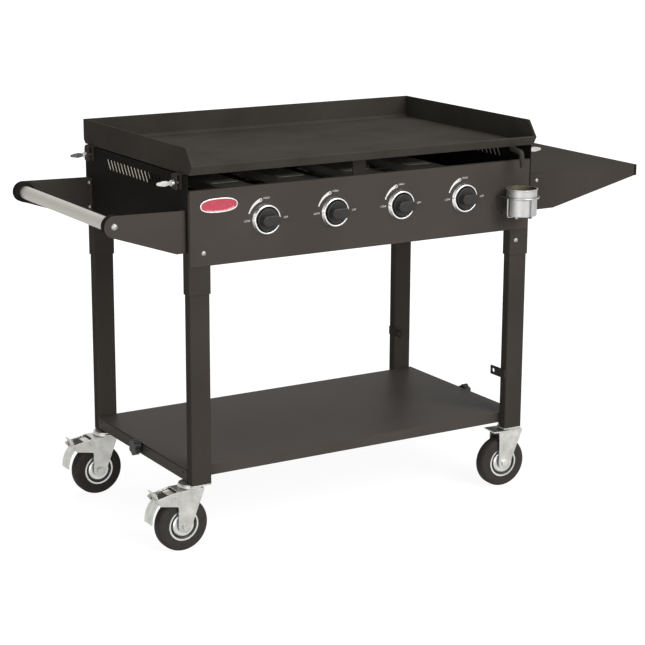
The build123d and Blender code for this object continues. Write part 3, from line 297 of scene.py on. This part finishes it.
# Inside of the firebox: the tray under the burners, of plain sheet gone dull and brown with heat
# and fat. The film of smoke is uneven and has a dry, matt face.
soot, coat, place, edge = new_finish("sooty_charcoal")
smoke = place.cloud(14.0, 6.0)
lay(coat, place.cloud(500.0), 0.2, 0.0004, edge, {
    "Base Color": smoke.spread(0.3, 0.7).tint((0.26, 0.24, 0.21), (0.44, 0.405, 0.36)),
    "Roughness": 0.62 + smoke * 0.2, "Specular IOR Level": 0.1})
dress(soot, "base_tray")

# Gas train: a steel manifold with a bent inlet pipe, four brass taps and their stems. The brass
# is turned, with fine rings, and dulled a little by handling.
brass, coat, place, edge = new_finish("turned_brass")
tarnish = place.cloud(90.0, 5.0)
turning = place.stretch(60.0, 2600.0, 60.0).cloud(1.0, 2.0)
lay(coat, turning, 0.15, 0.0002, edge, {
    "Base Color": tarnish.tint((0.42, 0.27, 0.09), (0.66, 0.48, 0.20)),
    "Metallic": 1.0, "Roughness": 0.24 + tarnish * 0.2})
dress(brass, "gas_valves", *["valve_stem_%d" % n for n in (1, 2, 3, 4)])

pipe_steel, coat, place, edge = new_finish("drawn_steel")
drawn = place.stretch(30.0, 900.0, 900.0).cloud(1.0, 3.0)
dull = place.cloud(40.0, 5.0)
lay(coat, drawn, 0.12, 0.0002, edge, {
    "Base Color": dull.tint((0.34, 0.33, 0.32), (0.55, 0.54, 0.52)),
    "Metallic": 1.0, "Roughness": 0.34 + dull * 0.2})
dress(pipe_steel, "gas_manifold")

# Burners: stainless tubes with a row of ports down each side, blued and browned by the flame in
# long patches, lying on a folded rest.
burnt, coat, place, edge = new_finish("heat_tinted_steel")
heat = place.stretch(1.0, 0.35, 1.0).cloud(26.0, 4.0)
tint = heat.node("ValToRGB", {"stops": [
    (0.30, (0.50, 0.48, 0.45)), (0.47, (0.45, 0.39, 0.31)), (0.58, (0.38, 0.32, 0.28)),
    (0.70, (0.34, 0.33, 0.34))]}, {0: heat})
lay(coat, place.cloud(1500.0), 0.1, 0.0002, edge, {
    "Base Color": tint, "Metallic": 1.0, "Roughness": 0.34 + heat * 0.2})
dress(burnt, "burners", "burner_rest")

# Flame spreaders: a folded steel cover over each burner, standing on two saddles. It is dull with
# soot; a pale strip laid on the top near the front is a painted highlight.
tap_pitch = 0.1785
burner_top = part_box("burners")[1].z
cover_z = 0.8002
cover_half = 0.19
cover_fold = [(-57, -14), (-43, 0), (43, 0), (57, -14),
              (56.2, -14.8), (42.5, -1.2), (-42.5, -1.2), (-56.2, -14.8)]
saddle_x, saddle_y = 0.012, 0.004
# painted light: a pale sheet that stands in for lit streaks in the slot and the lit inside seen
# through the vents
pale_painted_light, coat, place, edge = new_finish("pale_sheet_painted_light")
patchiness = place.cloud(45.0, 5.0)
lay(coat, patchiness, 0.15, 0.0003, edge, {
    "Base Color": patchiness.tint((0.62, 0.56, 0.45), (0.80, 0.75, 0.64)),
    "Metallic": 0.15, "Roughness": 0.55 + patchiness * 0.2, "Specular IOR Level": 0.2})


def box_piece(mesh, low, high):
    """A closed block between two corners."""
    face = [Vector((low[0], low[1], low[2])), Vector((high[0], low[1], low[2])),
            Vector((high[0], high[1], low[2])), Vector((low[0], high[1], low[2]))]
    prism(mesh, face, Vector(), Vector((0, 0, high[2] - low[2])))


for burner in range(4):
    x = (burner - 1.5) * tap_pitch
    cover = bmesh.new()
    prism(cover, [Vector((x + s * mm, 0, cover_z + h * mm)) for s, h in cover_fold],
          Vector((0, -cover_half, 0)), Vector((0, cover_half, 0)))
    for y in (-0.13, 0.13):
        box_piece(cover, (x - saddle_x, y - saddle_y, burner_top - 0.0004),
                  (x + saddle_x, y + saddle_y, cover_z - 0.0010))
    new_piece("flame_spreader_%d" % (burner + 1), cover, "frame", soot)
    # painted highlight: a pale strip on each cover
    strip = bmesh.new()
    box_piece(strip, (x - 0.034, -0.073, cover_z - 0.0004), (x + 0.034, -0.046, cover_z + 0.0012))
    bmesh.ops.bevel(strip, geom=strip.edges[:], offset=0.0004, segments=2, affect="EDGES")
    new_piece("spreader_painted_highlight_%d" % (burner + 1), strip, "frame", pale_painted_light)

# Vent backing: a strip of pale sheet behind the twelve back vents on the handle's side, with a rib
# pressed out into each of them, so these vents show pale; the pale sheet is painted light for the lit
# inside of the firebox. The four vents at the front are left open.
panel_low, panel_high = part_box("side_panel_left")
panel_in = panel_low.x + 0.0015
vent_pitch, vent_z, vent_lean = 0.0177, panel_high.z - 0.0295, math.radians(58)
rib_half, rib_round, rib_sink, rib_depth = 0.0117, 0.0018, 0.0004, 0.0017
# painted light: pale ribs in the vents in place of the lit inside
vent_light_sheet = bmesh.new()
box_piece(vent_light_sheet, (panel_in + 0.0002, -0.078, 0.80), (panel_in + 0.0012, 0.148, 0.855))
for vent in range(4, 16):
    vent_y = (vent - 7.5) * vent_pitch
    outline = []
    for step in range(12):
        turn = math.radians(15 + 30 * step)
        along = math.cos(turn) * rib_round + (rib_half if math.cos(turn) > 0 else -rib_half)
        across = math.sin(turn) * rib_round
        outline.append(Vector((panel_low.x + rib_sink,
                               vent_y + along * math.cos(vent_lean) - across * math.sin(vent_lean),
                               vent_z + along * math.sin(vent_lean) + across * math.cos(vent_lean))))
    prism(vent_light_sheet, outline, Vector(), Vector((rib_depth, 0, 0)))
new_piece("vent_painted_light", vent_light_sheet, "frame", pale_painted_light)

# Bezels: spun and chromed rings that frame the taps on the panel. The spinning leaves faint
# rings about each tap's own axis, under a mirror plating.
tap_height = 0.747
chrome, coat, place, edge = new_finish("spun_chrome")
panel_x = coat.node("SeparateXYZ", {}, {0: place}, out="X")
off_x = coat.node("Math", {"operation": "WRAP"}, {0: panel_x, 1: tap_pitch, 2: 0.0}) - tap_pitch / 2
off_z = coat.node("SeparateXYZ", {}, {0: place}, out="Z") - tap_height
ring = coat.math("SQRT", off_x * off_x + off_z * off_z)
spun = coat.node("TexNoise", {"noise_dimensions": "1D"}, {
    "W": ring * 1000.0, "Scale": 2.2, "Detail": 3.0})
mist = place.cloud(120.0, 4.0)
lay(coat, spun, 0.05, 0.0002, edge, {
    "Base Color": mist.tint((0.80, 0.80, 0.80), (0.90, 0.90, 0.89)),
    "Metallic": 1.0, "Roughness": 0.16 + mist * 0.10})
dress(chrome, "knob_bezels")

# Tap knobs: moulded black plastic, a round skirt with a wide straight grip, pushed on the stems
# of the taps. The plastic has a fine grain, and fingers leave a faint haze on it.
dress(black, *["knob_%d" % n for n in (1, 2, 3, 4)])

# Dial print: white ink on the panel round each tap, a wedge that narrows from high to low, a
# small ring at its wide end, and three plain words. The ink is thin, matt and a little uneven.
ink, coat, place, edge = new_finish("white_ink")
thin = place.cloud(900.0, 3.0)
lay(coat, thin, 0.1, 0.00005, edge, {
    "Base Color": thin.tint((0.62, 0.61, 0.59), (0.82, 0.81, 0.79)), "Roughness": 0.5 + thin * 0.2})
panel_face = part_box("control_panel")[0].y
ink_top = 0.00012
wedge_reach, wedge_start, wedge_sweep = 0.0465, 19.0, 51.0
wedge_fat, wedge_thin, wedge_foot = 0.0038, 0.0013, 0.0012
dot_lean, dot_in, dot_out = math.radians(18.0), 0.0021, 0.0041
arc_steps = 24
dial_words = (("HIGH", 0.0005, 0.0476), ("LOW", -0.0485, 0.0), ("OFF", 0.0500, 0.0))
word_size = 0.0066
prints = bmesh.new()


def on_panel(x, z, lift=0.0):
    """A point in front of the control panel's face."""
    return Vector((x, panel_face - lift, z))


def wedge_width(angle):
    """Half width of the wedge, from its fat end near the top to its thin end at the left."""
    share = (angle - wedge_start) / wedge_sweep
    return wedge_fat * (1 - share) + wedge_thin * share


for tap in range(4):
    tap_at = (tap - 1.5) * tap_pitch
    outer, inner = [], []
    for i in range(arc_steps + 1):
        angle = wedge_start + wedge_sweep * i / arc_steps
        lean = math.radians(angle)
        half = wedge_width(angle)
        foot = wedge_foot if i == arc_steps else 0.0
        for row, reach in ((outer, wedge_reach + half), (inner, wedge_reach - half - foot)):
            row.append(on_panel(tap_at - reach * math.sin(lean), tap_height + reach * math.cos(lean)))
    dot_x = tap_at - wedge_reach * math.sin(dot_lean)
    dot_z = tap_height + wedge_reach * math.cos(dot_lean)
    for i in range(arc_steps):
        prism(prints, [outer[i], outer[i + 1], inner[i + 1], inner[i]],
              Vector(), Vector((0, -ink_top, 0)))
        a, b = 2 * math.pi * i / arc_steps, 2 * math.pi * (i + 1) / arc_steps
        arc = [on_panel(dot_x + r * math.sin(t), dot_z + r * math.cos(t), ink_top)
               for r, t in ((dot_in, a), (dot_out, a), (dot_out, b), (dot_in, b))]
        prism(prints, arc, Vector(), Vector((0, -ink_top, 0)))
    for word, x, z in dial_words:
        text = bpy.data.curves.new("dial_word", "FONT")
        text.body = word
        text.size = word_size
        text.align_x = "CENTER"
        text.align_y = "CENTER"
        text.extrude = ink_top / 2
        letters = bpy.data.objects.new("dial_word", text)
        flat = bpy.data.meshes.new_from_object(letters)
        spot = on_panel(tap_at + x, tap_height + z, ink_top / 2)
        flat.transform(Matrix.Translation(spot) @ Matrix.Rotation(math.pi / 2, 4, "X"))
        prints.from_mesh(flat)
        bpy.data.objects.remove(letters)
        bpy.data.curves.remove(text)
        bpy.data.meshes.remove(flat)
bmesh.ops.remove_doubles(prints, verts=prints.verts, dist=0.000004)
new_piece("dial_print", prints, "frame", ink)

# Badge plate: a plain oval of pressed tin at the left end of the panel, red enamel inside a
# polished rim, held by two pins behind it. It carries no words.
enamel, coat, place, edge = new_finish("red_enamel")
pool = place.cloud(160.0, 3.0)
lay(coat, pool, 0.06, 0.0002, edge, {
    "Base Color": pool.tint((0.36, 0.020, 0.045), (0.46, 0.034, 0.065)),
    "Roughness": 0.22 + pool * 0.1, "Coat Weight": 0.4})
badge_x, badge_z = -0.386, 0.789
badge_points, badge_square = 72, 0.8
first_enamel, domed = 3, 4
badge = bmesh.new()
rows = []
for half_x, half_z, lift in (
        (0.0460, 0.0160, 0.0), (0.0460, 0.0160, 0.0010), (0.0455, 0.0155, 0.0014),
        (0.0437, 0.0137, 0.0014), (0.0433, 0.0133, 0.0009), (0.0300, 0.0085, 0.0012)):
    row = []
    for i in range(badge_points):
        turn = 2 * math.pi * i / badge_points
        x = half_x * math.copysign(abs(math.cos(turn)) ** badge_square, math.cos(turn))
        z = half_z * math.copysign(abs(math.sin(turn)) ** badge_square, math.sin(turn))
        row.append(badge.verts.new(on_panel(badge_x + x, badge_z + z, lift)))
    rows.append(row)
for level in range(len(rows) - 1):
    for face in band(badge, rows[level], rows[level + 1]):
        face.material_index = 1 if level >= first_enamel else 0
        face.smooth = level == domed
badge.faces.new(rows[0])
badge.faces.new(rows[-1]).material_index = 1
plate = new_piece("badge_plate", badge, "frame", chrome)
plate.data.materials.append(enamel)

# Griddle supports: folded corner brackets on the side panels, painted with the body, and zinc
# thumb screws with a flattened paddle that lock the griddle's height.
dress(body_paint, "corner_brackets")
dress(zinc, *["thumb_screw_" + corner for corner in corners])

# Griddle: a tray welded from steel plates, with a baked black finish that its spout and the post
# under it share. The cooking face is seasoned: dull, a little brown and blotchy, with fine marks
# from scraping front to back.
griddle, coat, place, edge = new_finish("seasoned_black")
season = place.cloud(7.0, 7.0)
mottle = place.cloud(60.0, 4.0)
scrape = place.stretch(700.0, 10.0, 60.0).cloud(1.0, 3.0)
worn = edge_wear(coat, edge)
lay(coat, scrape * 0.5 + mottle * 0.4, 0.16, 0.0004, edge, {
    "Base Color": (season.spread(0.3, 0.7) * 0.6 + mottle * 0.3 + worn * 0.3).tint(
        (0.036, 0.032, 0.027), (0.060, 0.054, 0.047)),
    "Metallic": 0.10, "Roughness": 0.44 + season * 0.16 + scrape * 0.08, "Specular IOR Level": 0.0})
dress(griddle, "griddle_plate", "drain_spout", "centre_support")

# Grease cup: a plain tin can with a rolled rim and a side seam, bright outside and lacquered a
# brassy yellow inside. It sits in a bent wire holder that plugs into the control panel.
cup_low, cup_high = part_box("grease_cup")
cup_centre = (cup_low + cup_high) / 2
cup_r = 0.0365
tin, coat, place, edge = new_finish("tinplate")
inward = coat.node("VectorMath", {"operation": "SUBTRACT"}, {
    0: place, 1: (cup_centre.x, cup_centre.y, 0.0)})
radius = coat.node("VectorMath", {"operation": "LENGTH"}, {
    0: inward.stretch(1.0, 1.0, 0.0)}, out="Value")
inside = coat.math("LESS_THAN", radius, cup_r - 0.0004)
rolled = place.stretch(20.0, 20.0, 1300.0).cloud(1.0, 3.0)
spangle = place.cloud(70.0, 5.0)
outside = spangle.tint((0.37, 0.365, 0.36), (0.50, 0.495, 0.49))
lay(coat, rolled, 0.08, 0.0002, edge, {
    "Base Color": inside.tint(outside, (0.15, 0.138, 0.086)),
    "Metallic": 1.0, "Roughness": 0.42 + spangle * 0.14 + inside * 0.08})
dress(tin, "grease_cup")
seam_turn = math.radians(62.0)
seam_out = Vector((math.cos(seam_turn), math.sin(seam_turn), 0))
seam_side = Vector((-seam_out.y, seam_out.x, 0))
seam_fold = ((-3.2, -0.25), (-2.6, 0.25), (-1.8, 0.4), (1.8, 0.4), (2.6, 0.25), (3.2, -0.25))
seam_foot = Vector((cup_centre.x, cup_centre.y, cup_low.z + 0.001))
seam_rise = Vector((0, 0, cup_high.z - cup_low.z - 0.0055))
seam = bmesh.new()
prism(seam, [seam_out * (cup_r + lift * mm) + seam_side * s * mm for s, lift in seam_fold],
      seam_foot, seam_foot + seam_rise)
new_piece("cup_seam", seam, "grease_cup", tin)

wire, coat, place, edge = new_finish("plated_wire")
fleck = place.cloud(240.0, 4.0)
lay(coat, fleck, 0.1, 0.0002, edge, {
    "Base Color": fleck.tint((0.30, 0.30, 0.29), (0.44, 0.44, 0.43)),
    "Metallic": 1.0, "Roughness": 0.26 + fleck * 0.16})
dress(wire, "cup_holder")

# Handle: two painted sheet arms, tapered and rounded at the end, with a satin stainless tube
# bolted between them. The tube is polished along its length, so the grain runs end to end. A dark
# spacer, as wide as the arm's round end, sits on each end of the tube, in the side panels' darkened
# coat.
dress(body_paint, "handle_arms")
satin, coat, place, edge = new_finish("satin_stainless")
grain = place.stretch(1700.0, 9.0, 1700.0).cloud(1.0, 4.0)
smudge = place.cloud(24.0, 4.0)
lay(coat, grain, 0.14, 0.0002, edge, {
    "Base Color": (grain * 0.6 + smudge * 0.4).tint((0.36, 0.345, 0.315), (0.48, 0.46, 0.42)),
    "Metallic": 1.0, "Roughness": 0.38 + grain * 0.10 + smudge * 0.08})
dress(satin, "handle_tube")
tube_low, tube_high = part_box("handle_tube")
tube_at = (tube_low + tube_high) / 2
spacer_bore = (tube_high.z - tube_low.z) / 2 + 0.0004
spacer_profile = ((0.0, 0.0238), (0.0165, 0.0238), (0.0180, 0.0225), (0.0180, spacer_bore),
                  (0.0, spacer_bore))
spacer_points = 48
for side, name, end in ((1, "front", tube_low.y), (-1, "back", tube_high.y)):
    spacer = bmesh.new()
    rows = []
    for reach, out in spacer_profile:
        row = []
        for i in range(spacer_points):
            turn = 2 * math.pi * i / spacer_points
            row.append(spacer.verts.new((tube_at.x + out * math.cos(turn), end + side * reach,
                                         tube_at.z + out * math.sin(turn))))
        rows.append(row)
    for level in range(len(rows)):
        band(spacer, rows[level], rows[(level + 1) % len(rows)])
    new_piece("tube_spacer_" + name, spacer, "frame", painted_shade_charcoal)

# Side shelf: one sheet with a flat top, tapered flanges front and back and a folded outer edge,
# bolted to two braces on the right side panel. Same coat as the body, with a thin dark strip, in the
# side panels' darkened coat, on the outer end of each flange.
wing_paint = charcoal("wing_charcoal", (0.040, 0.035, 0.031), (0.057, 0.050, 0.0445), 0.36)
dress(wing_paint, "side_shelf", "side_shelf_brackets")
shelf_low, shelf_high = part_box("side_shelf")
strip_width, strip_height, strip_thick = 0.0065, 0.0268, 0.0012
for side, name in ((-1, "front"), (1, "back")):
    strip = bmesh.new()
    face = shelf_high.y * side
    skin = face + side * strip_thick
    box_piece(strip, (shelf_high.x - strip_width, min(face, skin), shelf_high.z - strip_height),
              (shelf_high.x, max(face, skin), shelf_high.z))
    bmesh.ops.bevel(strip, geom=strip.edges[:], offset=0.0003, segments=2, affect="EDGES")
    new_piece("shelf_end_strip_" + name, strip, "frame", painted_shade_charcoal)

# Screws: dome heads with a hexagon socket, wherever panels, sleeves, arms and shelf are fastened.
# The zinc on them is duller than on the casters, handled and a little scuffed.
dull_zinc, coat, place, edge = new_finish("dull_zinc")
scuff = place.cloud(300.0, 4.0)
lay(coat, scuff, 0.15, 0.0002, edge, {
    "Base Color": scuff.tint((0.26, 0.255, 0.24), (0.44, 0.435, 0.41)),
    "Metallic": 1.0, "Roughness": 0.34 + scuff * 0.16})
dress(dull_zinc, "dome_screws")

# Floor: a plain pale studio floor. Near the barbecue it takes the light and the shadow, and
# further out it goes over to an even white so that no horizon shows.
paper, coat, place = new_finish("studio_floor")[:3]
floor_half = 30


def looked_at(coat):
    """1 where the camera, or a mirror or glass before it, looks straight on; 0 for other light."""
    seen = coat.node("LightPath", out="Is Camera Ray")
    shiny = coat.node("LightPath", out="Is Glossy Ray")
    through = coat.node("LightPath", out="Is Transmission Ray")
    return coat.math("MAXIMUM", coat.math("MAXIMUM", seen, shiny), through)


flat_place = place.stretch(1.0, 1.0, 0.0)
away = coat.node("VectorMath", {"operation": "LENGTH"}, {0: flat_place}, out="Value")
tooth = place.cloud(30.0, 3.0)
matt = coat.node("BsdfDiffuse", {}, {"Color": tooth.tint((0.74, 0.74, 0.735), (0.80, 0.80, 0.795))})
white = coat.node("Emission", {}, {"Color": (1.0, 1.0, 1.0), "Strength": 1.16})
fade = (0.80 + 0.20 * away.spread(0.7, 1.5)) * looked_at(coat)
skin = coat.node("MixShader", {}, {0: fade, 1: matt, 2: white})
coat.node("OutputMaterial", {}, {"Surface": skin})
sheet = bpy.data.meshes.new("studio_floor")
sheet.from_pydata([(-floor_half, -floor_half, 0), (floor_half, -floor_half, 0),
                   (floor_half, floor_half, 0), (-floor_half, floor_half, 0)], [], [(0, 1, 2, 3)])
floor = bpy.data.objects.new("studio_floor", sheet)
bpy.context.scene.collection.objects.link(floor)
floor.data.materials.append(paper)

# Studio light: a large soft key from the front and above, a low fill from the left, a weak lamp
# overhead and a dim white room. What the camera and the metal see round the barbecue is plain
# white.
world = bpy.data.worlds.new("studio")
bpy.context.scene.world = world
world.use_nodes = True
world.node_tree.nodes.clear()
coat = Coat(world.node_tree)
room = coat.node("Background", {}, {"Color": (1.0, 0.995, 0.985), "Strength": 0.16})
white = coat.node("Background", {}, {"Color": (1.0, 1.0, 1.0), "Strength": 1.0})
backdrop = coat.node("MixShader", {}, {0: looked_at(coat), 1: room, 2: white})
coat.node("OutputWorld", {}, {"Surface": backdrop})
for name, spot, aim, size, power in (
        ("key", (1.5, -5.3, 3.6), (0.0, 0.0, 0.5), 4.0, 345.0),
        ("fill", (-3.6, -3.0, 0.5), (0.0, 0.0, 0.3), 2.6, 85.0),
        ("top", (0.2, 0.3, 4.5), (0.0, 0.0, 0.5), 4.0, 105.0)):
    lamp = bpy.data.lights.new(name, "AREA")
    lamp.size = size
    lamp.energy = power
    light = bpy.data.objects.new(name, lamp)
    light.location = spot
    light.rotation_euler = (Vector(aim) - Vector(spot)).to_track_quat("-Z", "Y").to_euler()
    bpy.context.scene.collection.objects.link(light)
bpy.context.scene.view_settings.view_transform = "Standard"

# Camera: a long lens from the front left, a little above the rim, with the legs upright. Its
# place and its angles, in radians, come from a fit to edges that were measured in the photo.
camera_at = (-2.26308, -3.79101, 1.52043)
yaw, pitch, roll = 0.54584, 0.24398, 0.00478
ahead = Vector((math.sin(yaw), math.cos(yaw), 0))
right = Vector((math.cos(yaw), -math.sin(yaw), 0))
look = ahead * math.cos(pitch) - Vector((0, 0, math.sin(pitch)))
head = ahead * math.sin(pitch) + Vector((0, 0, math.cos(pitch)))
side = right * math.cos(roll) + head * math.sin(roll)
head = head * math.cos(roll) - right * math.sin(roll)
lens = bpy.data.cameras.new("camera")
lens.sensor_width = 36.0
lens.lens = 104.018
lens.clip_end = 200.0
camera = bpy.data.objects.new("camera", lens)
camera.matrix_world = Matrix.Translation(camera_at) @ Matrix(
    (side, head, -look)).transposed().to_4x4()
bpy.context.scene.collection.objects.link(camera)
bpy.context.scene.camera = camera
